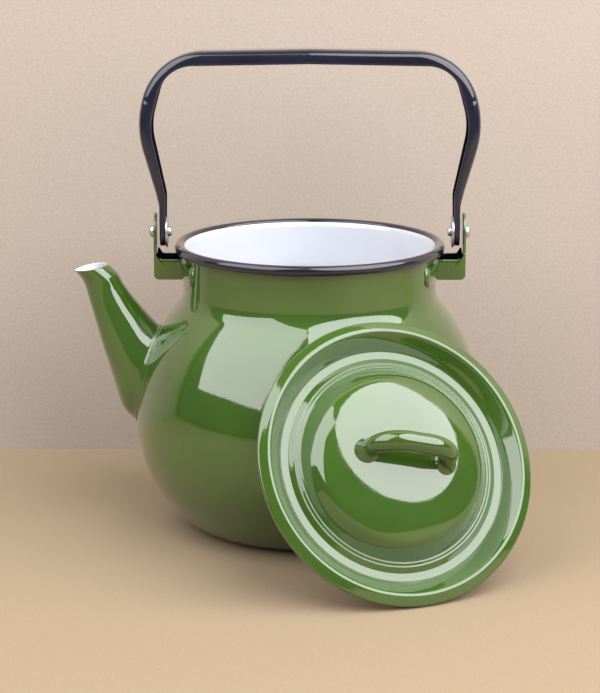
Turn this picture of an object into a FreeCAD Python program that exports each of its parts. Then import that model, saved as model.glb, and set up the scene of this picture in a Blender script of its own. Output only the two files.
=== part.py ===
import FreeCAD, Part
import math
import os
import Sketcher
from FreeCAD import Placement, Rotation, Vector

# Enamelled steel stovetop kettle: pot, spout, two ears, riveted bail handle and a loose lid.
# The origin is the centre of the pot's base on the table, +Z is up, the spout points along -X
# and the lid stands in front, at -Y, leaning back against the belly.

doc = FreeCAD.newDocument("kettle")
sheet = doc.addObject("Spreadsheet::Sheet", "sizes")

SIZES = [
    # pot
    ("wall", 1.2),
    ("belly_radius", 110.4),
    ("belly_height", 68.0),
    ("lower_round", 82.0),
    ("shoulder_round", 117.0),
    ("base_round", 32.0),
    ("throat_round", 15.0),
    ("neck_radius", 79.9),
    ("rim_height", 181.7),
    ("bead_radius", 3.0),
    ("bead_ring", 82.0),
    # spout
    ("spout_wall", 1.0),
    ("fan_reach", 89.8),
    ("fan_height", 167.0),
    ("hole_height", 98.0),
    ("hole_tall", 25.0),
    ("hole_wide", 14.0),
    # ears, rivets and washers
    ("ear_sheet", 1.8),
    ("ear_reach", 97.4),
    ("ear_half", 12.0),
    ("trough_bottom", 159.0),
    ("trough_top", 171.8),
    ("trough_corner", 3.0),
    ("fold_round", 4.2),
    ("tab_angle", 56.0),
    ("tab_thick", 1.2),
    ("pivot_height", 187.7),
    ("shank_radius", 2.1),
    ("hole_clearance", 0.05),
    ("outer_head", 3.85),
    ("outer_head_thick", 3.5),
    ("inner_head", 3.1),
    ("inner_head_thick", 2.6),
    ("washer_radius", 9.9),
    ("washer_thick", 1.2),
    ("washer_face", 90.2),
    # bail handle
    ("bail_sheet", 1.4),
    ("bail_roll", 2.6),
    ("foot_outside", 93.8),
    ("foot_inside", 90.5),
    ("foot_radius", 9.2),
    ("foot_half", 8.6),
    ("leg_start", 205.0),
    ("leg_depth", 9.0),
    ("leg_belly", 107.9),
    ("leg_belly_height", 255.0),
    ("leg_belly_round", 60.0),
    ("grip_corner", 95.3),
    ("grip_corner_round", 40.0),
    ("grip_height", 300.6),
    ("grip_rise", 1.4),
    ("grip_depth", 8.8),
    ("grip_corner_depth", 6.6),
    ("grip_half", 11.0),
    ("grip_half_start", 248.0),
    # lid
    ("lid_sheet", 1.2),
    ("lid_radius", 85.3),
    ("edge_height", 3.4),
    ("crest_radius", 78.8),
    ("crest_height", 5.0),
    ("channel_outer", 71.0),
    ("channel_inner", 64.9),
    ("channel_depth", 5.2),
    ("dome_foot", 58.5),
    ("dome_foot_depth", 3.4),
    ("dome_radius", 50.0),
    ("dome_edge_height", 8.0),
    ("dome_height", 19.0),
    ("hub_radius", 44.0),
    ("hub_height", 10.58),
    ("dome_limit", 46.0),
    ("lid_x", 50.4),
    ("lid_y", -123.45),
    ("lid_z", 73.81),
    ("lid_turn", 22.4),
    ("lid_tilt", 59.7),
    # lid handle
    ("tube_radius", 5.7),
    ("tube_wall", 1.2),
    ("tube_start", 2.0),
    ("tube_foot", 23.5),
    ("tube_spread", 26.5),
    ("tube_crown", 37.0),
    ("tube_round", 18.0),
    ("flare_radius", 7.6),
    ("flare_top", 5.0),
    ("flare_base", 15.0),
    ("flare_height", 6.0),
    ("tube_turn", -15.0),
    ("tube_lean", -6.0),
]

for row, (alias, number) in enumerate(SIZES, start=1):
    sheet.set(f"A{row}", alias)
    sheet.set(f"B{row}", str(number))
    sheet.setAlias(f"B{row}", alias)
doc.recompute()


class Size:
    """A length: its value places the first drawing, its text is the expression that drives it."""

    def __init__(self, value, text):
        self.value = value
        self.text = text

    def __add__(self, other):
        other = plain(other)
        return Size(self.value + other.value, f"({self.text} + {other.text})")

    def __sub__(self, other):
        other = plain(other)
        return Size(self.value - other.value, f"({self.text} - {other.text})")

    def __mul__(self, factor):
        return Size(self.value * factor, f"({self.text} * {factor})")

    def __neg__(self):
        return self * -1


def plain(number):
    """Wrap a bare number; a Size passes through unchanged."""
    return number if isinstance(number, Size) else Size(float(number), str(number))


def size(alias):
    return Size(float(sheet.get(alias)), f"sizes.{alias}")


def bind(thing, prop, length):
    thing.setExpression(prop, plain(length).text)


# ---------------------------------------------------------------- drawing helpers

def new_body(name):
    return doc.addObject("PartDesign::Body", name)


def new_sketch(body, plane):
    """A sketch on one of the body's own origin planes."""
    sketch = body.newObject("Sketcher::SketchObject", f"{body.Name}_sketch")
    role = next(item for item in body.Origin.OriginFeatures if item.Role == plane)
    sketch.AttachmentSupport = [(role, "")]
    sketch.MapMode = "FlatFace"
    return sketch


def lock(sketch, geometry, end, across, up):
    """Hold one point of the sketch at two sizes measured from the sketch's origin."""
    for kind, length in (("DistanceX", across), ("DistanceY", up)):
        length = plain(length)
        index = sketch.addConstraint(Sketcher.Constraint(kind, geometry, end, length.value))
        bind(sketch, f"Constraints[{index}]", length)


def outline(sketch, corners, closed=True):
    """Straight edges through the corners, each (across, up, round), tangent arcs where round > 0.

    A rounded corner keeps its sharp point as a construction point, which both edges pass through.
    """
    count = len(corners)
    spots = [Vector(plain(c[0]).value, plain(c[1]).value, 0) for c in corners]
    rounds = [plain(c[2]) for c in corners]
    leave = list(spots)
    arrive = list(spots)
    arcs = {}
    for i in range(count):
        if rounds[i].value <= 0:
            continue
        back = (spots[i - 1] - spots[i]).normalize()
        ahead = (spots[(i + 1) % count] - spots[i]).normalize()
        half = back.getAngle(ahead) / 2
        cut = rounds[i].value / math.tan(half)
        arrive[i] = spots[i] + back * cut
        leave[i] = spots[i] + ahead * cut
        middle = (back + ahead).normalize()
        centre = spots[i] + middle * (rounds[i].value / math.sin(half))
        arcs[i] = centre - middle * rounds[i].value
    edges = count if closed else count - 1
    lines = []
    for i in range(edges):
        j = (i + 1) % count
        lines.append(sketch.addGeometry(Part.LineSegment(leave[i], arrive[j]), False))
    for i in range(count):
        before = lines[i - 1] if closed or i > 0 else None
        after = lines[i] if i < edges else None
        if i in arcs:
            bend = Part.Arc(arrive[i], arcs[i], leave[i])
            arc = sketch.addGeometry(bend, False)
            near_start = sketch.getPoint(arc, 1).distanceToPoint(arrive[i])
            near_end = sketch.getPoint(arc, 2).distanceToPoint(arrive[i])
            first = 1 if near_start < near_end else 2
            point = sketch.addGeometry(Part.Point(spots[i]), True)
            lock(sketch, point, 1, corners[i][0], corners[i][1])
            sketch.addConstraint(Sketcher.Constraint("PointOnObject", point, 1, before))
            sketch.addConstraint(Sketcher.Constraint("PointOnObject", point, 1, after))
            sketch.addConstraint(Sketcher.Constraint("Tangent", before, 2, arc, first))
            sketch.addConstraint(Sketcher.Constraint("Tangent", arc, 3 - first, after, 1))
            index = sketch.addConstraint(Sketcher.Constraint("Radius", arc, rounds[i].value))
            bind(sketch, f"Constraints[{index}]", rounds[i])
        elif before is None:
            lock(sketch, after, 1, corners[i][0], corners[i][1])
        else:
            lock(sketch, before, 2, corners[i][0], corners[i][1])
            if after is not None:
                sketch.addConstraint(Sketcher.Constraint("Coincident", before, 2, after, 1))


def circle(sketch, across, up, radius):
    """A circle: a hole when it lies inside an outline."""
    place = Vector(plain(across).value, plain(up).value, 0)
    ring = sketch.addGeometry(Part.Circle(place, Vector(0, 0, 1), radius.value), False)
    lock(sketch, ring, 3, across, up)
    index = sketch.addConstraint(Sketcher.Constraint("Radius", ring, radius.value))
    bind(sketch, f"Constraints[{index}]", radius)


def pad(body, sketch, length, symmetric=False):
    feature = body.newObject("PartDesign::Pad", f"{body.Name}_pad")
    feature.Profile = sketch
    feature.SideType = "Symmetric" if symmetric else "One side"
    bind(feature, "Length", length)
    return feature


def revolve(body, sketch, axis, angle=360, midplane=False):
    feature = body.newObject("PartDesign::Revolution", f"{body.Name}_turned")
    feature.Profile = sketch
    feature.ReferenceAxis = (sketch, [axis])
    bind(feature, "Angle", angle)
    feature.Midplane = midplane
    return feature


def cut(base, tool, name):
    feature = doc.addObject("Part::Cut", name)
    feature.Base = base
    feature.Tool = tool
    return feature


def join(shapes, name):
    feature = doc.addObject("Part::MultiFuse", name)
    feature.Shapes = shapes
    return feature


def common(base, tool, name):
    feature = doc.addObject("Part::Common", name)
    feature.Base = base
    feature.Tool = tool
    return feature


def cylinder(name, radius, height):
    feature = doc.addObject("Part::Cylinder", name)
    bind(feature, "Radius", radius)
    bind(feature, "Height", height)
    return feature


nodes = []


def keep(feature, label, place=None):
    """Name a finished sub-part and put it where it belongs."""
    feature.Label = label
    if place is not None:
        feature.Placement = place
    nodes.append(feature)


# ---------------------------------------------------------------- pot

def belly_half(sketch, skin, top):
    """Half section of the belly and neck: flat base, base round, belly, shoulder, throat, neck.

    Every curve is a circular arc tangent to the next one. The inner face is the same drawing with
    the wall thickness as its skin, because each arc keeps its centre and only changes its radius.
    """
    lower = size("lower_round") - skin
    shoulder = size("shoulder_round") - skin
    base = size("base_round") - skin
    throat = size("throat_round") + skin
    neck = size("neck_radius") - skin
    belly = size("belly_radius") - skin
    level = size("belly_height")
    floor = plain(skin)

    low_x = belly.value - lower.value
    high_x = belly.value - shoulder.value
    rise = level.value - floor.value - base.value
    base_x = low_x + math.sqrt((lower.value - base.value) ** 2 - rise ** 2)
    base_z = floor.value + base.value
    toward = Vector(base_x - low_x, base_z - level.value, 0).normalize()
    heel = Vector(low_x, level.value, 0) + toward * lower.value
    throat_x = neck.value + throat.value
    reach = shoulder.value + throat.value
    throat_z = level.value + math.sqrt(reach ** 2 - (throat_x - high_x) ** 2)
    toward = Vector(throat_x - high_x, throat_z - level.value, 0).normalize()
    collar = Vector(high_x, level.value, 0) + toward * shoulder.value

    centre = Vector(0, floor.value, 0)
    flat = Vector(base_x, floor.value, 0)
    widest = Vector(belly.value, level.value, 0)
    bend = Vector(neck.value, throat_z, 0)
    crown = Vector(neck.value, top.value, 0)
    peak = Vector(0, top.value, 0)

    def arc(middle, start, end, radius):
        way = ((start - middle) + (end - middle)).normalize()
        return Part.Arc(start, middle + way * radius, end)

    base_mid = Vector(base_x, base_z, 0)
    throat_mid = Vector(throat_x, throat_z, 0)
    pieces = [
        Part.LineSegment(centre, flat),
        arc(base_mid, flat, heel, base.value),
        arc(Vector(low_x, level.value, 0), heel, widest, lower.value),
        arc(Vector(high_x, level.value, 0), widest, collar, shoulder.value),
        arc(throat_mid, collar, bend, throat.value),
        Part.LineSegment(bend, crown),
        Part.LineSegment(crown, peak),
        Part.LineSegment(peak, centre),
    ]
    joints = [centre, flat, heel, widest, collar, bend, crown, peak]
    ids = [sketch.addGeometry(piece, False) for piece in pieces]

    def end_at(index, spot):
        start_gap = sketch.getPoint(ids[index], 1).distanceToPoint(spot)
        end_gap = sketch.getPoint(ids[index], 2).distanceToPoint(spot)
        return 1 if start_gap < end_gap else 2

    for index, spot in enumerate(joints):
        kind = "Tangent" if index in (1, 2, 4, 5) else "Coincident"
        previous = (index - 1) % len(ids)
        ends = (ids[previous], end_at(previous, spot), ids[index], end_at(index, spot))
        sketch.addConstraint(Sketcher.Constraint(kind, *ends))
    lock(sketch, ids[0], 1, 0, floor)
    sketch.addConstraint(Sketcher.Constraint("Horizontal", ids[0]))
    for index, radius in ((1, base), (2, lower), (3, shoulder), (4, throat)):
        number = sketch.addConstraint(Sketcher.Constraint("Radius", ids[index], radius.value))
        bind(sketch, f"Constraints[{number}]", radius)
    lock(sketch, ids[3], end_at(3, widest), belly, level)
    for index in (2, 3):
        number = sketch.addConstraint(Sketcher.Constraint("DistanceY", ids[index], 3, level.value))
        bind(sketch, f"Constraints[{number}]", level)
    sketch.addConstraint(Sketcher.Constraint("Vertical", ids[5]))
    lock(sketch, ids[5], end_at(5, crown), neck, top)
    lock(sketch, ids[6], end_at(6, peak), 0, top)


def belly(name, skin, top):
    body = new_body(name)
    sketch = new_sketch(body, "XZ_Plane")
    belly_half(sketch, plain(skin), top)
    revolve(body, sketch, "V_Axis")
    return body


bead_height = size("rim_height") - size("bead_radius")
belly_outside = belly("belly_outside", 0, bead_height + 1.5)
belly_inside = belly("belly_inside", size("wall"), bead_height + 10)

pot_solid = belly("pot_solid", 0, bead_height + 1.5)
bead = new_sketch(pot_solid, "XZ_Plane")
circle(bead, size("bead_ring"), bead_height, size("bead_radius"))
revolve(pot_solid, bead, "V_Axis")


# ---------------------------------------------------------------- spout

# The spout is a tapered tube whose sections fan round a line above the shoulder. Each section is
# an oval: the turn of its plane from level, its near and far edge from that line, its half width.
SPOUT_SECTIONS = [
    (4.0, 35.4, 60.2, 11.2),
    (20.0, 31.0, 54.2, 11.0),
    (38.0, 30.4, 58.6, 12.6),
    (54.0, 31.6, 69.4, 15.0),
    (67.0, 34.4, 86.8, 18.0),
    (73.0, 36.4, 98.4, 19.6),
    (79.0, 38.8, 103.4, 20.7),
    (88.0, 44.0, 106.0, 21.5),
]
# The bore runs on a little past the mouth and the root.
PAST_MOUTH = (-7.0, 40.0, 66.0, 11.4)
PAST_ROOT = (96.0, 49.0, 107.0, 22.0)
OVAL_STEPS = 24


def fan_oval(section, skin):
    """Points round one oval, on the plane through the fan's line turned down from level."""
    turn, near, far, half = section
    slope = math.radians(turn)
    points = []
    for step in range(OVAL_STEPS + 1):
        around = 2 * math.pi * (step % OVAL_STEPS) / OVAL_STEPS
        reach = (near + far) / 2 + ((far - near) / 2 - skin) * math.cos(around)
        points.append(Vector(
            -size("fan_reach").value - reach * math.cos(slope),
            (half - skin) * math.sin(around),
            size("fan_height").value - reach * math.sin(slope),
        ))
    return points


def tapered_tube(name, sections, skin):
    """A solid whose side is one smooth surface through the ovals, closed flat at both ends."""
    side = Part.BSplineSurface()
    side.interpolate([fan_oval(section, skin) for section in sections])
    first, last = side.bounds()[:2]
    ends = [Part.Face(Part.Wire([side.uIso(u).toShape()])) for u in (first, last)]
    shell = Part.makeShell([side.toShape()] + ends)
    shell.sewShape()
    feature = doc.addObject("Part::Feature", name)
    feature.Shape = Part.makeSolid(shell)
    return feature


spout_outside = tapered_tube("spout_outside", SPOUT_SECTIONS, 0)
bore_sections = [PAST_MOUTH] + SPOUT_SECTIONS + [PAST_ROOT]
spout_bore = tapered_tube("spout_bore", bore_sections, size("spout_wall").value)
spout_tube = cut(spout_outside, spout_bore, "spout_tube")
keep(cut(spout_tube, belly_outside, "spout_part"), "spout")

# The pouring opening in the belly, an upright oval behind the root of the spout.
outward = Rotation(Vector(0, 1, 0), -90)
HOLE_ENDS = (-70.0, -125.0)
hole_rings = []
for number, reach in enumerate(HOLE_ENDS):
    ring = doc.addObject("Part::Ellipse", f"hole_ring_{number}")
    bind(ring, "MajorRadius", size("hole_tall"))
    bind(ring, "MinorRadius", size("hole_wide"))
    ring.Placement = Placement(Vector(reach, 0, 0), outward)
    bind(ring, "Placement.Base.z", size("hole_height"))
    hole_rings.append(ring)
pouring_hole = doc.addObject("Part::Loft", "pouring_hole")
pouring_hole.Sections = hole_rings
pouring_hole.Solid = True

pot_hollow = cut(pot_solid, belly_inside, "pot_hollow")
keep(cut(pot_hollow, pouring_hole, "pot_part"), "body_shell")


# ---------------------------------------------------------------- ears, rivets and washers

def side_block(name, corners, width):
    """A block whose outline is drawn in side view, as wide as given, centred on the ear."""
    body = new_body(name)
    sketch = new_sketch(body, "XZ_Plane")
    outline(sketch, corners)
    pad(body, sketch, width, symmetric=True)
    return body


def ear_blank(name):
    """Open trough out from the neck, upright round-topped ear at its end, tabs along the neck.

    The trough's walls are drawn higher than they end up, and the window above them is cut with a
    round corner, which leaves a web from each wall up into the ear.
    """
    body = new_body(f"{name}_sheet")
    half = size("ear_half")
    sheet_in = size("ear_sheet")
    low = size("trough_bottom")
    high = size("trough_top") + size("fold_round")
    corner = size("trough_corner")
    inside = half - sheet_in
    floor = low + sheet_in

    trough = new_sketch(body, "YZ_Plane")
    outline(trough, [
        (-half, high, 0),
        (-half, low, corner),
        (half, low, corner),
        (half, high, 0),
        (inside, high, 0),
        (inside, floor, corner - sheet_in),
        (-inside, floor, corner - sheet_in),
        (-inside, high, 0),
    ])
    trough_start = size("neck_radius") - 4
    bind(trough, "AttachmentOffset.Base.z", trough_start)
    pad(body, trough, size("ear_reach") - trough_start)

    ear = new_sketch(body, "YZ_Plane")
    top = size("pivot_height") + half
    almost = half - 0.1
    outline(ear, [(-half, low, corner), (half, low, corner), (half, top, almost), (-half, top, almost)])
    circle(ear, 0, size("pivot_height"), size("shank_radius") + size("hole_clearance"))
    bind(ear, "AttachmentOffset.Base.z", size("ear_reach") - sheet_in)
    pad(body, ear, sheet_in)

    tabs = new_sketch(body, "XZ_Plane")
    inner = size("neck_radius") - 1
    outer = size("neck_radius") + size("tab_thick")
    tab_top = size("trough_top")
    outline(tabs, [(inner, low, 0), (outer, low, 0), (outer, tab_top, 0), (inner, tab_top, 0)])
    revolve(body, tabs, "V_Axis", size("tab_angle"), midplane=True)

    inward = size("neck_radius") - 12
    reach = size("ear_reach")
    above = top + 5
    window = side_block(f"{name}_window", [
        (inward, tab_top, 0),
        (reach - sheet_in, tab_top, size("fold_round")),
        (reach - sheet_in, above, 0),
        (inward, above, 0),
    ], half * 3)
    profile = side_block(f"{name}_profile", [
        (inward, low, 0),
        (reach, low, corner),
        (reach, above, 0),
        (inward, above, 0),
    ], size("neck_radius"))
    open_sheet = cut(body, window, f"{name}_open")
    return common(open_sheet, profile, name)


def rivet(name):
    """Domed outer head, shank through ear, handle foot and washer, smaller inner head."""
    body = new_body(name)
    sketch = new_sketch(body, "XZ_Plane")
    outer_face = size("ear_reach")
    inner_face = size("washer_face") - size("washer_thick")
    tip = outer_face + size("outer_head_thick")
    tail = inner_face - size("inner_head_thick")
    shank = size("shank_radius")
    outline(sketch, [
        (tail, 0, 0),
        (tail, size("inner_head"), size("inner_head") * 0.5),
        (inner_face, size("inner_head"), 0),
        (inner_face, shank, 0),
        (outer_face, shank, 0),
        (outer_face, size("outer_head"), 0),
        (tip, size("outer_head"), size("outer_head") * 0.6),
        (tip, 0, 0),
    ])
    revolve(body, sketch, "H_Axis")
    return body


def washer(name):
    body = new_body(name)
    sketch = new_sketch(body, "YZ_Plane")
    circle(sketch, 0, 0, size("washer_radius"))
    circle(sketch, 0, 0, size("shank_radius") + size("hole_clearance"))
    bind(sketch, "AttachmentOffset.Base.z", size("washer_face") - size("washer_thick"))
    pad(body, sketch, size("washer_thick"))
    return body


for side, turn in (("right", 0), ("left", 180)):
    facing = Rotation(Vector(0, 0, 1), turn)
    blank = ear_blank(f"ear_blank_{side}")
    keep(cut(blank, belly_outside, f"ear_{side}"), f"ear_bracket_{side}", Placement(Vector(), facing))
    for label, make in (("pivot_rivet", rivet), ("pivot_washer", washer)):
        body = make(f"{label}_{side}_body")
        keep(body, f"{label}_{side}", Placement(Vector(), facing))
        bind(body, "Placement.Base.z", size("pivot_height"))


# ---------------------------------------------------------------- bail handle

def arch(name, bottom, corners):
    """A slab the shape of an arch seen from the front, symmetric about the middle of the grip."""
    body = new_body(name)
    sketch = new_sketch(body, "XZ_Plane")
    first, last = corners[0], corners[-1]
    right = [(first[0], bottom, 0)] + corners
    left = [(-across, up, bend) for across, up, bend in reversed(right)]
    middle = [(0, last[1] + size("grip_rise"), 0)]
    outline(sketch, right + middle + left)
    pad(body, sketch, size("grip_half") * 4, symmetric=True)
    return body


def outer_corners(inset):
    """The outside of the bail: straight foot, leg swelling outwards, wide corner to the grip."""
    return [
        (size("foot_outside") - inset, size("leg_start"), 12),
        (size("leg_belly") - inset, size("leg_belly_height"), size("leg_belly_round")),
        (size("grip_corner") - inset, size("grip_height") - inset, size("grip_corner_round") - inset),
    ]


def inner_corners(outset):
    """The inside of the bail, where the two flanges of the channel end."""
    depth = size("grip_depth") - outset
    ankle = size("foot_inside") - 1 + outset
    leg = size("leg_belly") - size("leg_depth") + outset
    knee = size("grip_corner_round") - outset
    wrist = size("grip_corner") - size("grip_corner_depth") + outset
    return [
        (ankle, size("leg_start") + 13, 20),
        (leg, size("leg_belly_height") - 1, knee),
        (wrist, size("grip_height") - depth, 20),
    ]


def slab(name, inset):
    """Side view of the bail: round feet about the pivot, a little wider at the grip."""
    body = new_body(name)
    sketch = new_sketch(body, "YZ_Plane")
    foot = size("foot_half") - inset
    grip = size("grip_half") - inset
    bottom = size("pivot_height") - size("foot_radius")
    top = size("grip_height") + 20
    start = size("leg_start") - 6
    outline(sketch, [
        (-foot, bottom, foot - 0.1),
        (foot, bottom, foot - 0.1),
        (foot, start, 0),
        (grip, size("grip_half_start"), 0),
        (grip, top, 0),
        (-grip, top, 0),
        (-grip, size("grip_half_start"), 0),
        (-foot, start, 0),
    ])
    pad(body, sketch, size("leg_belly") * 3, symmetric=True)
    return body


foot_bottom = size("pivot_height") - 25
hollow_bottom = size("leg_start") - 2
inner_foot = [(size("foot_inside"), size("leg_start"), 6)]
lip = size("bail_roll")
bail_outer = arch("bail_outer", foot_bottom, outer_corners(plain(0)))
bail_inner = arch("bail_inner", foot_bottom, inner_foot + inner_corners(plain(0)))
bail_frame = cut(bail_outer, bail_inner, "bail_frame")
bail_strap = common(bail_frame, slab("slab_full", plain(0)), "bail_strap")
deep_outer = arch("deep_outer", hollow_bottom, outer_corners(size("bail_sheet")))
deep_inner = arch("deep_inner", hollow_bottom - 1, inner_corners(lip))
deep_band = cut(deep_outer, deep_inner, "deep_band")
deep_hollow = common(deep_band, slab("slab_deep", size("bail_sheet")), "deep_hollow")
mouth_arch = arch("mouth_arch", hollow_bottom, inner_corners(lip + 0.5))
mouth_hollow = common(mouth_arch, slab("slab_mouth", lip), "mouth_hollow")
bail_hollow = join([deep_hollow, mouth_hollow], "bail_hollow")
bail_channel = cut(bail_strap, bail_hollow, "bail_channel")
pin_hole = cylinder("pin_hole", size("shank_radius") + size("hole_clearance") * 1.4, size("leg_belly") * 3)
pin_hole.Placement = Placement(Vector(-1.5 * size("leg_belly").value, 0, 0), Rotation(Vector(0, 1, 0), 90))
bind(pin_hole, "Placement.Base.x", size("leg_belly") * -1.5)
bind(pin_hole, "Placement.Base.z", size("pivot_height"))
keep(cut(bail_channel, pin_hole, "bail_part"), "bail_handle")


# ---------------------------------------------------------------- lid

BALL = "((sizes.dome_radius ^ 2 + dome_rise ^ 2) / (2 * dome_rise))"
BALL = BALL.replace("dome_rise", "(sizes.dome_height - sizes.dome_edge_height)")


def dome_cap(name, drop, lean="0 deg"):
    """The ball under the dome's spherical face, lowered by drop, leaned about the dome's top."""
    ball = doc.addObject("Part::Sphere", name)
    ball.setExpression("Radius", BALL)
    ball.setExpression("Placement.Base.y", f"-sin({lean}) * {BALL}")
    ball.setExpression("Placement.Base.z", f"sizes.dome_height - {drop.text} - cos({lean}) * {BALL}")
    return ball


def lid_ring(name):
    """Turned-down edge, flange, channel and the dome's steep shoulder, as one turned ring of sheet.

    The under face is the upper one moved in by the sheet, along the slope at each corner.
    """
    body = new_body(name)
    sketch = new_sketch(body, "XZ_Plane")
    sheet_in = size("lid_sheet")
    slope = sheet_in * 0.45
    rim = size("lid_radius")
    edge = size("edge_height")
    crest = size("crest_radius")
    high = size("crest_height")
    low = -size("channel_depth")
    outer = size("channel_outer")
    inner = size("channel_inner")
    foot = size("dome_foot")
    foot_low = -size("dome_foot_depth")
    dome = size("dome_radius")
    shoulder = size("dome_edge_height")
    hub = size("hub_radius")
    hub_high = size("hub_height")
    outline(sketch, [
        (rim - sheet_in, 0, 0),
        (rim, 0, 0),
        (rim, edge, 2.4),
        (crest, high, 2.0),
        (outer, low, 2.0),
        (inner, low, 2.0),
        (foot, foot_low, 1.0),
        (dome, shoulder, 12),
        (hub, hub_high, 0),
        (hub, hub_high - sheet_in, 0),
        (dome - sheet_in * 0.64, shoulder - sheet_in * 0.82, 10.8),
        (foot - sheet_in * 0.60, foot_low - sheet_in * 0.87, 2.2),
        (inner - sheet_in * 0.14, low - sheet_in, 0.8),
        (outer + slope, low - sheet_in, 3.2),
        (crest + slope, high - sheet_in, 0.8),
        (rim - sheet_in, edge - sheet_in, 1.2),
    ])
    revolve(body, sketch, "V_Axis")
    return body


def lid_place():
    """The lid stands on its lower edge, turned to the right and tilted back against the belly."""
    around = Rotation(Vector(0, 0, 1), size("lid_turn").value)
    back = Rotation(Vector(1, 0, 0), size("lid_tilt").value)
    spot = Vector(size("lid_x").value, size("lid_y").value, size("lid_z").value)
    return Placement(spot, around.multiply(back))


dome_under = dome_cap("dome_under", size("lid_sheet"))
dome_skin = cut(dome_cap("dome_top", plain(0)), dome_under, "dome_skin")
dome_limit = cylinder("dome_limit", size("dome_limit"), size("dome_height") + 5)
dome_part = common(dome_skin, dome_limit, "dome_part")
keep(join([lid_ring("lid_ring"), dome_part], "lid_part"), "lid_shell", lid_place())


# ---------------------------------------------------------------- lid handle

def handle_spine(name, start):
    """Centre line of the bent tube: two leaning legs, two bends, a flat crown."""
    body = new_body(name)
    sketch = new_sketch(body, "XZ_Plane")
    foot = size("tube_foot")
    spread = size("tube_spread")
    crown = size("tube_crown")
    outline(sketch, [
        (-foot, start, 0),
        (-spread, crown, size("tube_round")),
        (spread, crown, size("tube_round")),
        (foot, start, 0),
    ], closed=False)
    return body, sketch


def bent_tube(name, radius, start):
    body, spine = handle_spine(name, start)
    ring = new_sketch(body, "XY_Plane")
    bind(ring, "AttachmentOffset.Base.z", start)
    circle(ring, -size("tube_foot"), 0, radius)
    pipe = body.newObject("PartDesign::AdditivePipe", f"{name}_pipe")
    pipe.Profile = ring
    pipe.Spine = (spine, [f"Edge{number + 1}" for number in range(5)])
    return body


tube_outside = bent_tube("tube_outside", size("tube_radius"), size("tube_start"))
bore_radius = size("tube_radius") - size("tube_wall")
tube_inside = bent_tube("tube_inside", bore_radius, size("tube_start") - 1)
flares = []
for side, sign in (("left", -1), ("right", 1)):
    flare = doc.addObject("Part::Cone", f"flare_{side}")
    bind(flare, "Radius1", size("flare_radius"))
    bind(flare, "Radius2", size("flare_top"))
    bind(flare, "Height", size("flare_height"))
    bind(flare, "Placement.Base.x", size("tube_foot") * sign)
    bind(flare, "Placement.Base.z", size("flare_base"))
    flares.append(flare)
handle_blank = join([tube_outside] + flares, "handle_blank")
handle_tube = cut(handle_blank, tube_inside, "handle_tube")
# The handle leans about the dome's top, so the dome it is cut to leans the other way.
handle_seat = dome_cap("handle_seat", plain(0), "(sizes.tube_lean * 1 deg)")
handle_part = cut(handle_tube, handle_seat, "handle_part")
turned = Rotation(Vector(0, 0, 1), size("tube_turn").value)
leaned = Rotation(Vector(1, 0, 0), size("tube_lean").value)
pitch = Vector(0, 0, size("dome_height").value)
local = Placement(Vector(), turned.multiply(leaned), pitch)
keep(handle_part, "lid_handle", lid_place().multiply(local))


# ---------------------------------------------------------------- check and write

doc.recompute()
for item in doc.Objects:
    bad = [state for state in item.State if state in ("Invalid", "Error")]
    if bad:
        raise RuntimeError(f"{item.Name} failed: {bad}")
for node in nodes:
    if node.Shape.isNull() or not node.Shape.isValid():
        raise RuntimeError(f"{node.Label} has no valid shape")
    if len(node.Shape.Solids) != 1:
        raise RuntimeError(f"{node.Label} has {len(node.Shape.Solids)} solids")

os.makedirs("parts", exist_ok=True)
for node in nodes:
    node.Shape.exportStep(f"parts/{node.Label}.step")
    print(node.Label, round(node.Shape.Volume), node.Shape.optimalBoundingBox())
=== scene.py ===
import math

import bmesh
import bpy
import numpy as np
from mathutils import Matrix, Vector


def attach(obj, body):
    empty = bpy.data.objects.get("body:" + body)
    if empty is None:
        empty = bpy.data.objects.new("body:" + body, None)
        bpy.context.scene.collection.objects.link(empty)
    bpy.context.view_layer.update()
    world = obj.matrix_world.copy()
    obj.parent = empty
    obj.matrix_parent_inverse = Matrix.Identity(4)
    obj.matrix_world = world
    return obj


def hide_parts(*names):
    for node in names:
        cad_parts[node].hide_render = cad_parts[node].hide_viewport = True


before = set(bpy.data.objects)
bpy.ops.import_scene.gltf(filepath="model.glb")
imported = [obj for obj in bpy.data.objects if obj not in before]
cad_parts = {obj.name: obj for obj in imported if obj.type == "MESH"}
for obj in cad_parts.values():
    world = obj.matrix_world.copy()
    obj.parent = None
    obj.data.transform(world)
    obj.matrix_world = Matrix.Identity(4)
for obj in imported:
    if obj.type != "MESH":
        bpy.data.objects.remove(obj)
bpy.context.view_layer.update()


# ---------------------------------------------------------------- mesh tools
# Every surface below is a grid of points worked out with numpy. A piece is made from one or more
# grids, welded where they meet, with all its faces turned outwards.

def grid(points, material=0, wrap=False, skip=None):
    """Vertices and quads of a grid of points, rows by columns.

    wrap joins the last column to the first. skip is (row, row, column, column), a window left open.
    """
    rows, columns = points.shape[:2]
    index = np.arange(rows * columns).reshape(rows, columns)
    if wrap:
        index = np.hstack([index, index[:, :1]])
    faces = np.stack([index[:-1, :-1], index[:-1, 1:], index[1:, 1:], index[1:, :-1]], axis=-1)
    if skip:
        keep = np.ones(faces.shape[:2], bool)
        keep[skip[0]:skip[1], skip[2]:skip[3]] = False
        faces = faces[keep]
    return points.reshape(-1, 3), faces.reshape(-1, 4), material


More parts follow.
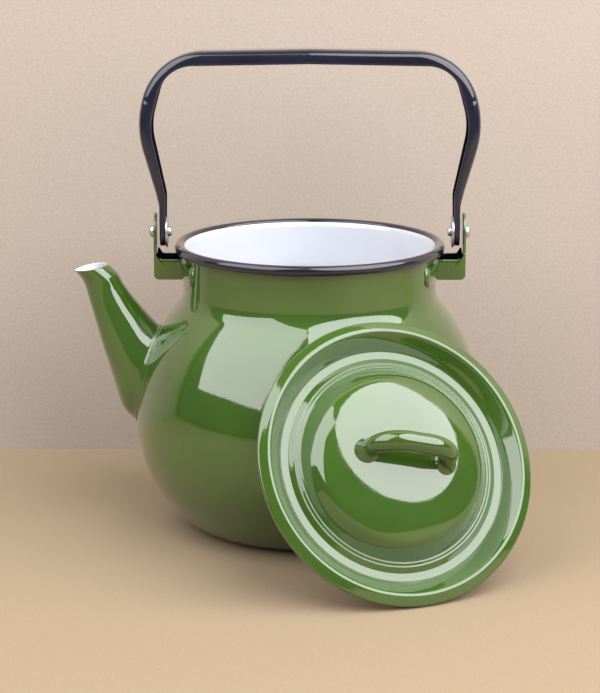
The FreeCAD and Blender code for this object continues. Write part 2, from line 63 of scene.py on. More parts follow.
def piece(name, parts, materials, body, replaces=(), place=None):
    """One welded object from grids, riding on a body and standing for its CAD nodes."""
    vertices, faces, indices, start = [], [], [], 0
    for points, quads, material in parts:
        vertices.append(points)
        faces.append(quads + start)
        indices.append(np.full(len(quads), material))
        start += len(points)
    mesh = bpy.data.meshes.new(name)
    mesh.from_pydata(np.concatenate(vertices), [], np.concatenate(faces).tolist())
    mesh.polygons.foreach_set("material_index", np.concatenate(indices).astype(np.int32))
    work = bmesh.new()
    work.from_mesh(mesh)
    bmesh.ops.remove_doubles(work, verts=work.verts, dist=2e-6)
    bmesh.ops.dissolve_degenerate(work, edges=work.edges, dist=1e-7)
    bmesh.ops.recalc_face_normals(work, faces=work.faces)
    work.to_mesh(mesh)
    work.free()
    if place is not None:
        mesh.transform(place)
    mesh.polygons.foreach_set("use_smooth", np.ones(len(mesh.polygons), bool))
    for material in materials:
        mesh.materials.append(material)
    thing = bpy.data.objects.new(name, mesh)
    bpy.context.collection.objects.link(thing)
    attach(thing, body)
    if replaces:
        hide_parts(*replaces)
    return thing


def lathe(profile, columns=256, material=0, axis="Z"):
    """A profile of (radius, height) turned round an axis: each point swept through a full circle."""
    around = np.linspace(0, 2 * np.pi, columns, endpoint=False)
    radius, height = profile[:, :1], profile[:, 1:]
    flat = np.broadcast_to(height, (len(profile), columns))
    if axis == "Z":
        points = np.stack([radius * np.cos(around), radius * np.sin(around), flat], axis=-1)
    else:
        points = np.stack([flat, radius * np.cos(around), radius * np.sin(around)], axis=-1)
    return grid(points, material, wrap=True)


def rounded(corners, steps=10, closed=False):
    """A line through (x, y, round) corners, each sharp corner replaced by a tangent circular arc."""
    spots = np.array([corner[:2] for corner in corners], float)
    count = len(spots)
    out = []
    for i, corner in enumerate(corners):
        inner = closed or 0 < i < count - 1
        if corner[2] <= 0 or not inner:
            out.append(spots[i][None])
            continue
        back = spots[i - 1] - spots[i]
        ahead = spots[(i + 1) % count] - spots[i]
        back /= np.linalg.norm(back)
        ahead /= np.linalg.norm(ahead)
        half = math.acos(np.clip(back @ ahead, -1, 1)) / 2
        middle = (back + ahead) / np.linalg.norm(back + ahead)
        centre = spots[i] + middle * corner[2] / math.sin(half)
        first = spots[i] + back * corner[2] / math.tan(half) - centre
        sweep = math.pi - 2 * half
        turn = np.sign(first[0] * -middle[1] - first[1] * -middle[0]) * sweep
        angles = np.linspace(0, turn, steps + 1)[:, None]
        across = np.array([-first[1], first[0]])
        out.append(centre + first * np.cos(angles) + across * np.sin(angles))
    return np.concatenate(out)


def respace(line, count):
    """The same line with its points an equal distance apart."""
    length = np.concatenate([[0], np.cumsum(np.linalg.norm(np.diff(line, axis=0), axis=1))])
    at = np.linspace(0, length[-1], count)
    return np.stack([np.interp(at, length, line[:, k]) for k in range(line.shape[1])], axis=1)


def refine(line, longest):
    """Extra points on long runs, so that no run is longer than the given length."""
    out = [line[:1]]
    for a, b in zip(line[:-1], line[1:]):
        pieces = max(1, math.ceil(np.linalg.norm(b - a) / longest))
        out.append(a + (b - a) * (np.arange(1, pieces + 1) / pieces)[:, None])
    return np.concatenate(out)


def spline(xs, ys, x):
    """Natural cubic spline through (xs, ys), whose second derivative is zero at both ends."""
    xs, ys = np.asarray(xs, float), np.asarray(ys, float)
    step = np.diff(xs)
    count = len(xs)
    system = np.eye(count)
    right = np.zeros(count)
    for i in range(1, count - 1):
        system[i, i - 1:i + 2] = step[i - 1], 2 * (step[i - 1] + step[i]), step[i]
        right[i] = 6 * ((ys[i + 1] - ys[i]) / step[i] - (ys[i] - ys[i - 1]) / step[i - 1])
    bend = np.linalg.solve(system, right)
    k = np.clip(np.searchsorted(xs, x) - 1, 0, count - 2)
    left, over = xs[k + 1] - x, x - xs[k]
    run = step[k]
    cubic = (bend[k] * left ** 3 + bend[k + 1] * over ** 3) / (6 * run)
    linear = (ys[k] / run - bend[k] * run / 6) * left + (ys[k + 1] / run - bend[k + 1] * run / 6) * over
    return cubic + linear


def capped(rows):
    """Rows of points closed at both ends, each end by a row gathered at the middle of its last ring."""
    first, last = (np.broadcast_to(rows[end].mean(axis=0), rows[:1].shape) for end in (0, -1))
    return np.concatenate([first, rows, last])


def ease(x, low, high):
    """0 below low, 1 above high, a smooth S between."""
    t = np.clip((x - low) / (high - low), 0, 1)
    return t * t * (3 - 2 * t)


# ---------------------------------------------------------------- material tools

class Shade:
    """A shader socket with arithmetic: each operation adds one Math node."""

    def __init__(self, tree, socket):
        self.tree = tree
        self.socket = socket

    def math(self, operation, *others):
        node = self.tree.nodes.new("ShaderNodeMath")
        node.operation = operation
        for slot, value in zip(node.inputs, (self,) + others):
            self.put(slot, value)
        return Shade(self.tree, node.outputs[0])

    def put(self, slot, value):
        if isinstance(value, Shade):
            self.tree.links.new(value.socket, slot)
        else:
            slot.default_value = value

    def node(self, kind, outlet=0, settings=(), **inputs):
        """Any other node: its settings, its inputs by name, and the outlet that is wanted."""
        node = self.tree.nodes.new(kind)
        for key, value in dict(settings).items():
            setattr(node, key, value)
        for key, value in inputs.items():
            self.put(node.inputs[key.replace("_", " ")], value)
        return Shade(self.tree, node.outputs[outlet])

    def __add__(self, other):
        return self.math("ADD", other)

    def __radd__(self, other):
        return self.math("ADD", other)

    def __sub__(self, other):
        return self.math("SUBTRACT", other)

    def __mul__(self, other):
        return self.math("MULTIPLY", other)

    def __rmul__(self, other):
        return self.math("MULTIPLY", other)

    def between(self, low, high):
        """0 below low and 1 above high, smooth between."""
        settings = {"interpolation_type": "SMOOTHSTEP"}
        return self.node("ShaderNodeMapRange", 0, settings, Value=self, From_Min=low, From_Max=high)

    def blend(self, first, second):
        """The first colour where this is 0 and the second where it is 1."""
        node = self.tree.nodes.new("ShaderNodeMix")
        node.data_type = "RGBA"
        factor, low, high = (node.inputs[index] for index in (0, 6, 7))
        self.put(factor, self)
        self.put(low, first)
        self.put(high, second)
        return Shade(self.tree, node.outputs[2])


def new_material(name, **constants):
    """A material with its Principled shader, its constant sockets set, and its object coordinates."""
    material = bpy.data.materials.new(name)
    material.use_nodes = True
    tree = material.node_tree
    shader = tree.nodes["Principled BSDF"]
    for key, value in constants.items():
        shader.inputs[key.replace("_", " ")].default_value = value
    coordinates = tree.nodes.new("ShaderNodeTexCoord")
    return material, shader, Shade(tree, coordinates.outputs["Object"])


def noise(place, scale, detail, roughness):
    return place.node(
        "ShaderNodeTexNoise", Vector=place, Scale=scale, Detail=detail, Roughness=roughness)


def drive(shader, socket, value):
    value.tree.links.new(value.socket, shader.inputs[socket])


def bump(shader, height, distance):
    drive(shader, "Normal", height.node("ShaderNodeBump", Height=height, Distance=distance))


def colour(red, green, blue):
    return (red, green, blue, 1.0)


def enamel(name, deep, light, rough=0.06, peel=0.00003, glaze=1.55):
    """Fired enamel: a hard bright glaze, slightly pooled in tone, with orange-peel and fine specks."""
    material, shader, place = new_material(
        name, IOR=glaze, Coat_Weight=1.0, Coat_IOR=glaze, Coat_Roughness=0.025)
    clouds = noise(place, 14.0, 4.0, 0.55).between(0.3, 0.7)
    specks = noise(place, 1900.0, 2.0, 0.6).between(0.68, 0.8)
    tone = clouds.blend(deep, light)
    dark = colour(*(part * 0.55 for part in deep[:3]))
    drive(shader, "Base Color", (specks * 0.35).blend(tone, dark))
    drive(shader, "Roughness", noise(place, 60.0, 3.0, 0.6) * 0.06 + (rough - 0.03))
    waves = noise(place, 38.0, 2.0, 0.5) + noise(place, 420.0, 2.0, 0.5) * 0.12
    bump(shader, waves, peel * 8)
    return material


# ---------------------------------------------------------------- pot
# The pot is one drawn steel shell under glossy enamel: green outside, white inside. A round belly
# narrows over the shoulder into a short straight neck. The wall is open behind the spout.

green = enamel("green_enamel", colour(0.034, 0.082, 0.008), colour(0.044, 0.102, 0.012))
white = enamel(
    "white_enamel", colour(0.66, 0.68, 0.75), colour(0.71, 0.73, 0.79), rough=0.1, glaze=1.5)

wall = 0.0012
belly_radius = 0.1104
belly_height = 0.068
lower_round = 0.082
shoulder_round = 0.117
base_round = 0.032
throat_round = 0.015
neck_radius = 0.0799
rim_top = 0.1817
bead_radius = 0.003
bead_height = rim_top - bead_radius


def arc(across, up, radius, start, stop, steps):
    """Points on a circle's arc, from one angle to another, as (radius, height) pairs."""
    angles = np.linspace(start, stop, steps)
    return np.stack([across + radius * np.cos(angles), up + radius * np.sin(angles)], axis=1)


def belly_profile(skin):
    """Half section of the pot, in from its outer face by skin: tangent arcs from base to neck top."""
    low_x = belly_radius - lower_round
    high_x = belly_radius - shoulder_round
    lower, shoulder = lower_round - skin, shoulder_round - skin
    base, throat, neck = base_round - skin, throat_round + skin, neck_radius - skin
    base_z = skin + base
    base_x = low_x + math.sqrt((lower - base) ** 2 - (belly_height - base_z) ** 2)
    heel = math.atan2(base_z - belly_height, base_x - low_x)
    throat_x = neck + throat
    throat_z = belly_height + math.sqrt((shoulder + throat) ** 2 - (throat_x - high_x) ** 2)
    collar = math.atan2(throat_z - belly_height, throat_x - high_x)
    flat = np.stack([np.linspace(0, base_x, 16)[:-1], np.full(15, skin)], axis=1)
    return np.concatenate([
        flat,
        arc(base_x, base_z, base, -math.pi / 2, heel, 14)[:-1],
        arc(low_x, belly_height, lower, heel, 0, 40)[:-1],
        arc(high_x, belly_height, shoulder, 0, collar, 40)[:-1],
        arc(throat_x, throat_z, throat, collar + math.pi, math.pi, 12),
        np.stack([np.full(8, neck), np.linspace(throat_z, bead_height + 0.001, 9)[1:]], axis=1),
    ])


def belly_reach(height, skin=0.0):
    """Radius of the belly at a height: its lower arc below the widest place, its shoulder above."""
    round_off = np.where(height < belly_height, lower_round, shoulder_round)
    return belly_radius - round_off + np.sqrt((round_off - skin) ** 2 - (height - belly_height) ** 2)


hole_height = 0.098
hole_tall = 0.025
hole_wide = 0.014
columns = 288
turn = np.linspace(0, 2 * np.pi, columns, endpoint=False)
outside = belly_profile(0.0)
inside = belly_profile(wall)
hole_columns = (columns // 2 - 12, columns // 2 + 12)
hole_rows = tuple(int(np.searchsorted(outside[:, 1], z)) for z in (0.064, 0.131))


def pot_face(profile, skin, material):
    """One face of the pot as a lathe grid, with a window filled by rings down to the oval hole."""
    radius, height = profile[:, :1], np.broadcast_to(profile[:, 1:], (len(profile), columns))
    face = np.stack([radius * np.cos(turn), radius * np.sin(turn), height], axis=-1)
    row0, row1 = hole_rows
    col0, col1 = hole_columns
    edge = [(row0, c) for c in range(col0, col1)]
    edge += [(r, col1) for r in range(row0, row1)]
    edge += [(row1, c) for c in range(col1, col0, -1)]
    edge += [(r, col0) for r in range(row1, row0, -1)]
    rows = np.array([r for r, c in edge])
    cols = np.array([c for r, c in edge])
    border = np.stack([turn[cols], profile[rows, 1]], axis=1)
    half_turn = math.asin(hole_wide / belly_reach(hole_height, skin))
    away = np.arctan2((border[:, 1] - hole_height) / hole_tall, (border[:, 0] - np.pi) / half_turn)
    oval = np.stack([np.pi + half_turn * np.cos(away), hole_height + hole_tall * np.sin(away)], axis=1)
    inward = np.linspace(0, 1, 9)[:, None, None]
    flat = border * (1 - inward) + oval * inward
    reach = belly_reach(flat[..., 1], skin)
    rings = np.stack([reach * np.cos(flat[..., 0]), reach * np.sin(flat[..., 0]), flat[..., 1]], axis=-1)
    rings[0] = face[rows, cols]
    window = (row0, row1, col0, col1)
    return grid(face, material, wrap=True, skip=window), grid(rings, material, wrap=True), rings[-1]


outer_face, outer_rings, outer_oval = pot_face(outside, 0.0, 0)
inner_face, inner_rings, inner_oval = pot_face(inside, wall, 1)
hole_wall = grid(np.stack([outer_oval, inner_oval]), 1, wrap=True)
neck_top = lathe(np.array([outside[-1], inside[-1]]), columns, 0)
piece("pot", [outer_face, outer_rings, inner_face, inner_rings, hole_wall, neck_top],
      [green, white], "kettle", ["body_shell"])


# ---------------------------------------------------------------- rolled rim
# The mouth's edge is rolled outwards into a round bead and dipped in blue-black enamel, which lies
# a little thicker underneath, where it ends on the green.

# The same black also covers the ears' inner faces, where it is painted shade, not a coating.
black = enamel(
    "black_enamel", colour(0.008, 0.009, 0.019), colour(0.013, 0.014, 0.030),
    rough=0.14, peel=0.00004, glaze=1.4)

around_bead = np.linspace(0, 2 * np.pi, 49)[:-1]
along_rim = turn[:, None]
bead_ring = 0.082
sag = 0.00012 * np.sin(7 * along_rim + 1.3) + 0.00010 * np.sin(17 * along_rim)
sag += 0.00006 * np.sin(41 * along_rim)
swell = bead_radius + np.clip(-np.sin(around_bead), 0, 1) * (0.00025 + sag)
bead_r = bead_ring + swell * np.cos(around_bead)
bead_z = bead_height + swell * np.sin(around_bead)
bead_points = np.stack([bead_r * np.cos(along_rim), bead_r * np.sin(along_rim), bead_z], axis=-1)
bead_points = np.concatenate([bead_points, bead_points[:1]])
piece("rim_bead", [grid(bead_points, 0, wrap=True)], [black], "kettle")


# ---------------------------------------------------------------- spout
# The spout is one tapered tube, green outside and white inside. Its oval sections fan round a line
# above the shoulder, from the wide root on the belly to a small level mouth with a pouring point.

fan_reach = 0.0898
fan_height = 0.167
spout_wall = 0.001
spout_turns = [1.0, 7.0, 21.0, 38.0, 54.0, 67.0, 73.0, 79.0, 88.0]
spout_near = [37.2, 33.7, 30.9, 30.4, 31.6, 34.4, 36.4, 38.8, 44.0]
spout_far = [62.4, 56.8, 54.2, 58.6, 69.4, 86.8, 98.4, 103.4, 106.0]
spout_half = [11.3, 11.1, 11.0, 12.6, 15.0, 18.0, 19.6, 20.7, 21.5]


def spout_point(turned, around, skin):
    """A point of the spout: its fan plane's turn from level, the way round the oval, its depth.

    The reach from the fan's line is the oval's middle plus its half length times the cosine of the
    way round, and the side is its half width times the sine, drawn in near the point of the mouth.
    """
    near = spline(spout_turns, spout_near, turned) / 1000
    far = spline(spout_turns, spout_far, turned) / 1000
    half = spline(spout_turns, spout_half, turned) / 1000
    point = 1 - ease(turned, 2, 34)
    narrowing = 1 - 0.32 * point * np.clip(np.cos(around), 0, 1) ** 2
    reach = (near + far) / 2 + ((far - near) / 2 - skin) * np.cos(around)
    side = (half - skin) * np.sin(around) * narrowing
    slope = np.radians(turned)
    return np.stack([-fan_reach - reach * np.cos(slope), side, fan_height - reach * np.sin(slope)], axis=-1)


def spout_root(around, skin, depth):
    """The turn at which the tube, at each way round, passes depth under the belly's outer face."""
    turns = np.linspace(55, 96, 400)[:, None]
    points = spout_point(turns, around[None], skin)
    gap = np.hypot(points[..., 0], points[..., 1]) - belly_reach(points[..., 2]) + depth
    first = np.argmax(gap < 0, axis=0)
    return turns[first, 0]


spout_around = np.linspace(0, 2 * np.pi, 120, endpoint=False)
mouth_turn = 3.0 + 1.5 * np.cos(spout_around)
lip = np.linspace(0, np.pi, 7)[:, None]


def spout_face(skin, depth, rows, flare):
    """Rows of the tube from mouth to root, swelling by flare into a fillet over the last few mm."""
    root = spout_root(spout_around, skin, depth)
    way = np.linspace(0, 1, rows)[:, None]
    turned = mouth_turn + (root - mouth_turn) * way
    width = 0.0045 / (0.08 * np.radians(root - mouth_turn))
    fillet = flare * np.clip(1 - (1 - way) / width, 0, 1) ** 2
    return spout_point(turned, spout_around[None], skin - fillet)


spout_outer = spout_face(0.0, 0.0006, 120, 0.0022)
spout_inner = spout_face(spout_wall, 0.0, 60, 0.0)
outer_lip, inner_lip = spout_outer[0], spout_inner[0]
middle_lip = (outer_lip + inner_lip) / 2
out_lip = (outer_lip - inner_lip) / 2
up_lip = spout_outer[0] - spout_outer[1]
up_lip *= (spout_wall / 2) / np.linalg.norm(up_lip, axis=-1, keepdims=True)
lip_rows = middle_lip + out_lip * np.cos(lip)[..., None] + up_lip * np.sin(lip)[..., None]
root_rows = np.stack([spout_outer[-1], spout_inner[-1]])
piece("spout_tube", [
    grid(spout_outer, 0, wrap=True),
    grid(lip_rows[:4], 0, wrap=True),
    grid(lip_rows[3:], 1, wrap=True),
    grid(spout_inner, 1, wrap=True),
    grid(root_rows, 1, wrap=True),
], [green, white], "kettle", ["spout"])


# ---------------------------------------------------------------- ears
# Each ear is one stamping: an open trough standing out from the neck, an upright round-topped ear
# at its end, webs that run up from the trough's sides into the ear, and tabs along the neck.

ear_sheet = 0.0018
ear_reach = 0.0974
ear_half = 0.012
trough_start = 0.0788
trough_bottom = 0.159
trough_top = 0.1718
trough_corner = 0.003
fold_round = 0.0042
pivot_height = 0.1877


def wall_plate(outline, thickness, edge, level, front):
    """A flat upright plate across Y, its edges rounded: green outside, and black inside as painted shade for
    the deep shadow in the trough.

    The rim runs round the outline in rows, drawn in and lifted along a half circle from one side
    to the other, and each side closes in rings towards the middle.
    """
    spots = refine(np.vstack([outline, outline[:1]]), 0.0012)[:-1]
    ahead = np.roll(spots, -1, axis=0) - np.roll(spots, 1, axis=0)
    normal = np.stack([ahead[:, 1], -ahead[:, 0]], axis=1)
    normal /= np.linalg.norm(normal, axis=1, keepdims=True)
    area = np.sum(spots[:, 0] * np.roll(spots[:, 1], -1) - np.roll(spots[:, 0], -1) * spots[:, 1])
    normal *= np.sign(area)
    bend = np.linspace(-np.pi / 2, np.pi / 2, 9)
    inset = edge * (1 - np.cos(bend))
    lift = (thickness / 2 - edge) * np.sign(bend) + edge * np.sin(bend)
    middle = spots.mean(axis=0)
    drawn = spots - normal * inset[:, None, None]
    rings = np.array([0.0, 0.6])[:, None, None]
    first = middle + (drawn[0] - middle) * rings
    last = middle + (drawn[-1] - middle) * rings[::-1]
    flat = np.concatenate([first, drawn, last])
    depth = np.concatenate([[lift[0]] * 2, lift, [lift[-1]] * 2])
    across = np.broadcast_to(front * (level + depth)[:, None], flat.shape[:2])
    points = np.stack([flat[..., 0], across, flat[..., 1]], axis=-1)
    half = len(points) // 2
    return grid(points[half:], 0, wrap=True), grid(points[:half + 1], 1, wrap=True)


def ear_strip(side):
    """The trough's floor, its bend and the ear as one strip: green outside, and black inside as painted
    shade for the deep shadow in the trough and on the ear's inner face.

    Its middle line runs out, bends up and ends at the ear's top. Its half width is the ear's,
    and over the round top it follows a circle about the pivot.
    """
    half_sheet = ear_sheet / 2
    out = ear_reach - half_sheet
    bent = rounded([
        (trough_start, trough_bottom + half_sheet, 0),
        (out, trough_bottom + half_sheet, trough_corner - half_sheet),
        (out, pivot_height, 0),
    ], 10)
    bent = refine(bent, 0.002)
    crown = np.sin(np.linspace(0, np.pi / 2, 25)[1:])
    top = np.stack([np.full(24, out), pivot_height + (ear_half - 0.0002) * crown], axis=1)
    line = np.concatenate([bent, top])
    width = np.concatenate([np.ones(len(bent)), np.sqrt(1 - crown ** 2)]) * (ear_half - 0.0002)
    ahead = np.gradient(line, axis=0)
    ahead /= np.linalg.norm(ahead, axis=1, keepdims=True)
    outward = np.stack([ahead[:, 1], -ahead[:, 0]], axis=1)
    edge = 0.0005
    bend = np.linspace(0, np.pi / 2, 5)
    corner = np.stack([edge * np.cos(bend) - edge, half_sheet - edge + edge * np.sin(bend)], axis=1)
    across = np.concatenate([corner[:, 0], -corner[::-1, 0]])
    level = np.concatenate([corner[:, 1], corner[::-1, 1]])
    sign = np.concatenate([np.ones(5), -np.ones(5)])
    reach = np.maximum(width[:, None] + sign * across, 0)
    faces = []
    for way in (1, -1):
        place = line[:, None] + way * level[:, None] * outward[:, None]
        faces.append(np.stack([side * place[..., 0], sign * reach, place[..., 1]], axis=-1))
    edges = [grid(np.stack([faces[0][:, end], faces[1][:, end]]), 0) for end in (0, -1)]
    return [grid(faces[0], 0), grid(faces[1], 1)] + edges


def neck_tab(side, front):
    """A curved tab lying on the neck beside the trough, rounded off at its far lower corner."""
    start, stop = 0.010 / neck_radius, math.radians(28)
    along = np.linspace(start, stop, 40)[:, None]
    section = rounded([
        (-0.0006, 0.0, 0),
        (0.0012, 0.0002, 0.0006),
        (0.0012, 0.9998, 0.0006),
        (-0.0006, 1.0, 0),
    ], 6)
    left = np.clip((along - stop) * neck_radius / 0.005 + 1, 0, 1)
    low = trough_bottom + 0.005 * (1 - np.sqrt(1 - 0.9998 * left ** 2))
    fade = 1 - 0.5 * ease(along, stop - 0.03, stop)
    radius = neck_radius + section[:, 0] * fade
    height = low + (trough_top - low) * section[:, 1]
    angle = front * along
    points = np.stack([side * radius * np.cos(angle), radius * np.sin(angle), height], axis=-1)
    end = points[-1:].copy()
    end[..., :2] *= (neck_radius - 0.0006) / radius[-1:, :, None]
    return grid(np.concatenate([points, end]), 0)


for side, name in ((-1, "left"), (1, "right")):
    parts = ear_strip(side)
    outer = ear_reach - 0.0001
    inner = ear_reach - ear_sheet
    wall_outline = rounded([
        (side * trough_start, trough_bottom + 0.0001, 0),
        (side * outer, trough_bottom + 0.0001, trough_corner),
        (side * outer, trough_top + fold_round, 0),
        (side * inner, trough_top + fold_round, 0),
        (side * inner, trough_top, fold_round - 0.0002),
        (side * trough_start, trough_top, 0),
    ], 12, closed=True)
    for front in (-1, 1):
        parts += wall_plate(wall_outline, ear_sheet, 0.0005, ear_half - ear_sheet / 2, front)
        parts.append(neck_tab(side, front))
    # Material 1, the black, is painted shade here: it stands for the shadow inside the trough and on the
    # ear's inner face.
    piece(f"ear_{name}", parts, [green, black], "kettle", [f"ear_bracket_{name}"])


# ---------------------------------------------------------------- rivets and washers
# Plain zinc-plated rivets: a domed head outside the ear, a smaller one inside, and a flat washer
# between the inner head and the handle's foot.

steel, steel_shader, steel_place = new_material("zinc_steel", Metallic=1.0)
mottle = noise(steel_place, 900.0, 4.0, 0.6)
tarnish = mottle.between(0.3, 0.7).blend(colour(0.50, 0.51, 0.52), colour(0.68, 0.69, 0.70))
drive(steel_shader, "Base Color", tarnish)
drive(steel_shader, "Roughness", mottle * 0.25 + 0.22)
bump(steel_shader, noise(steel_place, 2600.0, 3.0, 0.6), 0.00004)

outer_head, outer_thick = 0.00385, 0.0035
inner_head, inner_thick = 0.0031, 0.0026
washer_face, washer_thick, washer_radius, washer_bore = 0.0902, 0.0012, 0.0099, 0.00215
washer_back = washer_face - washer_thick
lift = Matrix.Translation((0, 0, pivot_height))
for side, name in ((-1, "left"), (1, "right")):
    outer_dome = rounded([
        (0, ear_reach - 0.0006, 0),
        (outer_head, ear_reach - 0.0006, 0),
        (outer_head, ear_reach + outer_thick, outer_head * 0.7),
        (0, ear_reach + outer_thick, 0),
    ], 14)
    inner_dome = rounded([
        (0, washer_back + 0.0003, 0),
        (inner_head, washer_back + 0.0003, 0),
        (inner_head, washer_back - inner_thick, inner_head * 0.6),
        (inner_head * 0.4, washer_back - inner_thick, 0.0003),
        (0, washer_back - inner_thick + 0.0004, 0),
    ], 10)
    heads = [lathe(dome * (1, side), 64, 0, "X") for dome in (outer_dome, inner_dome)]
    piece(f"rivet_{name}", heads, [steel], "kettle", [f"pivot_rivet_{name}"], lift)
    ring = rounded([
        (washer_bore, washer_back, 0.0001),
        (washer_radius, washer_back, 0.0003),
        (washer_radius, washer_face, 0.0003),
        (washer_bore, washer_face, 0.0001),
    ], 5, closed=True)
    ring = np.vstack([ring, ring[:1]])
    piece(f"washer_{name}", [lathe(ring * (1, side), 96, 0, "X")], [steel], "kettle",
          [f"pivot_washer_{name}"], lift)


# ---------------------------------------------------------------- bail handle
# The bail is a pressed steel channel, open towards the hand, with both its edges rolled inwards.
# It flattens into solid feet at the rivets and is dipped in the same blue-black enamel as the rim.

# The web's outside and the rolled edges' inside, from one foot up and over the grip to the middle.
bail_outside = [
    (0.0938, 0.1785, 0),
    (0.0938, 0.2045, 0.012),
    (0.1079, 0.2550, 0.060),
    (0.0953, 0.3003, 0.040),
    (0.0, 0.3019, 0),
]
bail_inside = [
    (0.0905, 0.1785, 0),
    (0.0897, 0.2110, 0.020),
    (0.0989, 0.2540, 0.040),
    (0.0887, 0.2915, 0.022),
    (0.0, 0.2930, 0),
]


def whole_arch(corners):
    """Both halves of an arch: its right half, then the same points mirrored."""
    half = rounded(corners, 40)
    index = np.linspace(0, len(half) - 1, 12 * len(half))
    half = np.stack([np.interp(index, np.arange(len(half)), half[:, k]) for k in (0, 1)], axis=1)
    return np.concatenate([half, half[::-1][1:] * (-1, 1)])


outer_arch = whole_arch(bail_outside)
inner_arch = whole_arch(bail_inside)
both = respace(np.hstack([outer_arch, inner_arch]), 540)
outer_arch, inner_arch = both[:, :2], both[:, 2:]
bail_line = (outer_arch + inner_arch) / 2


def bail_section(half_depth, half_width, channel):
    """One closed section: a channel with rolled edges where channel is 1, a flat bar where it is 0.

    Both outlines have the same number of points in the same order, so they blend point by point.
    """
    sheet, roll, corner = 0.0014, 0.0013, 0.0052
    deep = rounded([
        (0, half_depth, 0),
        (half_width, half_depth, corner),
        (half_width, -half_depth, roll),
        (half_width - 2 * roll, -half_depth, roll * 0.98),
        (half_width - 2 * roll, -half_depth + 2 * roll, roll * 0.9),
        (half_width - sheet, -half_depth + 2.4 * roll, 0.0002),
        (half_width - sheet, half_depth - sheet, corner - sheet),
        (0, half_depth - sheet, 0),
    ], 8)
    low = -half_depth
    bar = rounded([
        (0, half_depth, 0),
        (half_width, half_depth, 0.0012),
        (half_width, low, 0.0010),
        (half_width * 0.75, low, 0.0002),
        (half_width * 0.5, low, 0.0002),
        (half_width * 0.35, low, 0.0002),
        (half_width * 0.2, low, 0.0002),
        (0, low, 0),
    ], 8)
    right = deep * channel + bar * (1 - channel)
    left = right[::-1][1:-1] * (-1, 1)
    return np.concatenate([right, left])


depth = np.linalg.norm(outer_arch - inner_arch, axis=1) / 2
outward = (outer_arch - inner_arch) / (2 * depth[:, None])
height = bail_line[:, 1]
foot_half, grip_half, foot_drop = 0.0086, 0.0110, 0.0092
width = foot_half + (grip_half - foot_half) * ease(height, 0.200, 0.250)
below = np.clip((pivot_height - height) / foot_drop, 0, 1)
width *= np.sqrt(1 - 0.9995 * below ** 2)
channel = ease(height, 0.204, 0.219)
bail_points = []
for spot, away, half_depth, half_width, open_part in zip(bail_line, outward, depth, width, channel):
    section = bail_section(half_depth, max(half_width, foot_half), open_part)
    section[:, 0] *= min(half_width / foot_half, 1)
    across = section[:, 1:] * away
    bail_points.append(np.column_stack([spot[0] + across[:, 0], section[:, 0], spot[1] + across[:, 1]]))
bail_grid = grid(capped(np.array(bail_points)), 0, wrap=True)
piece("bail", [bail_grid], [black], "bail", ["bail_handle"])


# ---------------------------------------------------------------- lid
# The lid is one pressed disc: a turned-down edge, a raised flange, a channel that drops into the
# mouth, a small double step and a shallow dome. It stands on its edge, leaning on the belly.

lid_turn = math.radians(22.4)
lid_tilt = math.radians(59.7)
lid_place = Matrix.Translation((0.0504, -0.12345, 0.07381))
lid_place = lid_place @ Matrix.Rotation(lid_turn, 4, "Z") @ Matrix.Rotation(lid_tilt, 4, "X")
lid_sheet = 0.0012
dome_radius, dome_edge, dome_height = 0.050, 0.008, 0.019
dome_rise = dome_height - dome_edge
ball = (dome_radius ** 2 + dome_rise ** 2) / (2 * dome_rise)


def dome(radius, drop):
    """Height of the dome at a radius from the lid's axis: a shallow spherical cap."""
    return dome_height - drop - ball + np.sqrt(ball ** 2 - radius ** 2)


def lid_face(drop, folds):
    """Half section of one face of the lid, dropped by the sheet, from the apex to the last fold."""
    cap = np.linspace(0, 0.0455, 40)
    top = np.stack([cap, dome(cap, drop)], axis=1)
    outer = rounded([tuple(top[-1]) + (0,)] + folds, 8)
    return np.concatenate([top[:-1], refine(outer, 0.0015)])


lid_top = lid_face(0.0, [
    (0.0500, 0.0080, 0.0120),
    (0.0577, -0.0024, 0.0008),
    (0.0586, -0.0030, 0.0005),
    (0.0594, -0.0027, 0.0005),
    (0.0606, -0.0037, 0.0006),
    (0.0614, -0.0034, 0.0005),
    (0.0646, -0.0052, 0.0014),
    (0.0692, -0.0054, 0.0024),
    (0.0788, 0.0050, 0.0022),
    (0.0853, 0.0022, 0.0014),
    (0.0853, 0.0004, 0),
])
lid_under = lid_face(lid_sheet, [
    (0.0492, 0.0070, 0.0108),
    (0.0578, -0.0044, 0.0022),
    (0.0647, -0.0064, 0.0008),
    (0.0702, -0.0066, 0.0032),
    (0.0793, 0.0036, 0.0008),
    (0.0841, 0.0014, 0.0008),
    (0.0841, 0.0004, 0),
])
lid_edge = np.array([lid_top[-1], (0.08515, 0.0001), (0.0847, 0.0), (0.0842, 0.0001), lid_under[-1]])
lid_columns = 320
piece("lid", [
    lathe(lid_top, lid_columns, 0),
    lathe(lid_edge, lid_columns, 0),
    lathe(lid_under, lid_columns, 1),
], [green, white], "lid", ["lid_shell"], lid_place)


# ---------------------------------------------------------------- lid handle
# The lid's handle is a bent tube, thickest at its crown, with feet that flare out on the dome.

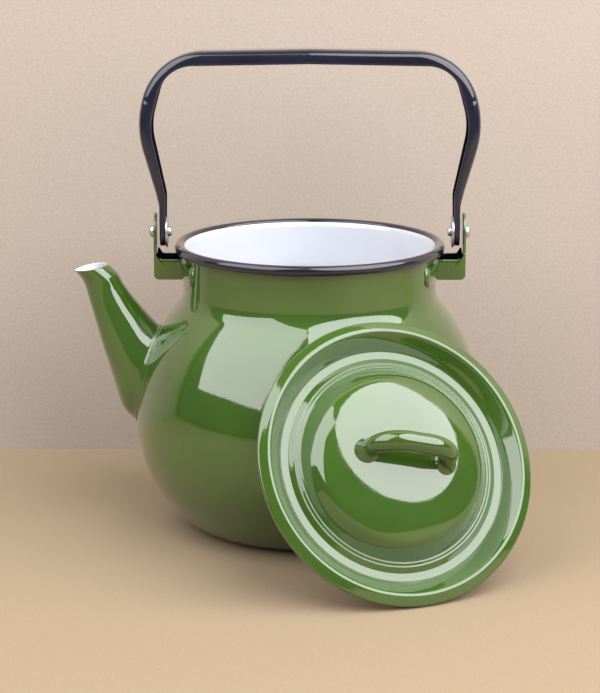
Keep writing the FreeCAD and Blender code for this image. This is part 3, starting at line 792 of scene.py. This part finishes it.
handle_turn = math.radians(-15)
handle_lean = math.radians(-6)
handle_place = lid_place @ Matrix.Rotation(handle_turn, 4, "Z")
handle_place = handle_place @ Matrix.Translation((0, 0, dome_height))
handle_place = handle_place @ Matrix.Rotation(handle_lean, 4, "X") @ Matrix.Translation((0, 0, -dome_height))
handle_line = respace(rounded([
    (-0.0235, 0.0140, 0),
    (-0.0262, 0.0370, 0.0185),
    (0.0262, 0.0370, 0.0185),
    (0.0235, 0.0140, 0),
], 32), 160)
handle_tangent = np.gradient(handle_line, axis=0)
handle_tangent /= np.linalg.norm(handle_tangent, axis=1, keepdims=True)
handle_out = np.stack([handle_tangent[:, 1], -handle_tangent[:, 0]], axis=1)
above = handle_line[:, 1] - dome(np.abs(handle_line[:, 0]), 0)
tube = 0.0050 + 0.0009 * ease(above, 0.004, 0.017)
tube += 0.0030 * np.clip(1 - (above + 0.001) / 0.0065, 0, 1) ** 2
ring = np.linspace(0, 2 * np.pi, 48, endpoint=False)
spread = tube[:, None] * np.cos(ring)
handle_points = np.stack([
    handle_line[:, :1] + spread * handle_out[:, :1],
    tube[:, None] * np.sin(ring),
    handle_line[:, 1:] + spread * handle_out[:, 1:],
], axis=-1)
piece("lid_grip", [grid(capped(handle_points), 0, wrap=True)], [green], "lid",
      ["lid_handle"], handle_place)


# ---------------------------------------------------------------- stage
# A plain pale tabletop with a plain wall a little way behind the kettle. Each is solid only on its
# face towards the kettle, so that the kettle can also be seen from behind the wall.

def sheet_of(name, corners, tint, rough):
    material, shader, place = new_material(name, Roughness=rough)
    fibre = noise(place, 620.0, 5.0, 0.7)
    low = colour(*(channel * 0.86 for channel in tint[:3]))
    drive(shader, "Base Color", fibre.between(0.3, 0.7).blend(low, tint))
    bump(shader, fibre, 0.0001)
    behind = place.node("ShaderNodeNewGeometry", "Backfacing")
    drive(shader, "Alpha", behind * -1 + 1)
    mesh = bpy.data.meshes.new(name)
    mesh.from_pydata(corners, [], [(0, 1, 2, 3)])
    mesh.materials.append(material)
    thing = bpy.data.objects.new(name, mesh)
    bpy.context.collection.objects.link(thing)


wall_y = 0.153
far = 3
floor_corners = [(-far, -far, 0), (far, -far, 0), (far, wall_y, 0), (-far, wall_y, 0)]
wall_corners = [(-far, wall_y, 0), (far, wall_y, 0), (far, wall_y, far), (-far, wall_y, far)]
sheet_of("tabletop", floor_corners, colour(0.325, 0.243, 0.157), 0.75)
sheet_of("backdrop", wall_corners, colour(0.445, 0.372, 0.318), 0.9)


# ---------------------------------------------------------------- light and camera
# One large round soft light high on the right, a square one on the left and a faint even surround.

light_aim = Vector((0, 0, 0.12))


def soft_light(name, shape, azimuth, elevation, distance, width, tall, power):
    """An area light on a sphere about the kettle; azimuth 0 is the front, + is right."""
    data = bpy.data.lights.new(name, "AREA")
    data.shape = shape
    data.size = width
    data.size_y = tall
    data.energy = power
    lamp = bpy.data.objects.new(name, data)
    flat = math.cos(math.radians(elevation))
    way = Vector((math.sin(math.radians(azimuth)) * flat, -math.cos(math.radians(azimuth)) * flat,
                  math.sin(math.radians(elevation))))
    lamp.location = light_aim + way * distance
    lamp.rotation_euler = way.to_track_quat("Z", "Y").to_euler()
    bpy.context.collection.objects.link(lamp)


soft_light("key_right", "ELLIPSE", 52, 44, 1.2, 1.7, 1.7, 36)
soft_light("side_left", "RECTANGLE", -56, 43, 1.3, 1.3, 1.45, 22)

world = bpy.data.worlds.new("surround")
world.use_nodes = True
surround = world.node_tree.nodes["Background"]
surround.inputs["Color"].default_value = colour(0.97, 0.98, 1.0)
surround.inputs["Strength"].default_value = 0.12
bpy.context.scene.world = world
bpy.context.scene.view_settings.view_transform = "Standard"

camera_data = bpy.data.cameras.new("camera")
camera_data.sensor_width = 36
camera_data.lens = 104.9
camera = bpy.data.objects.new("camera", camera_data)
camera.location = (0, -1.25, 0.4145)
camera.rotation_euler = (math.radians(76.45), 0, math.radians(0.28))
bpy.context.collection.objects.link(camera)
bpy.context.scene.camera = camera
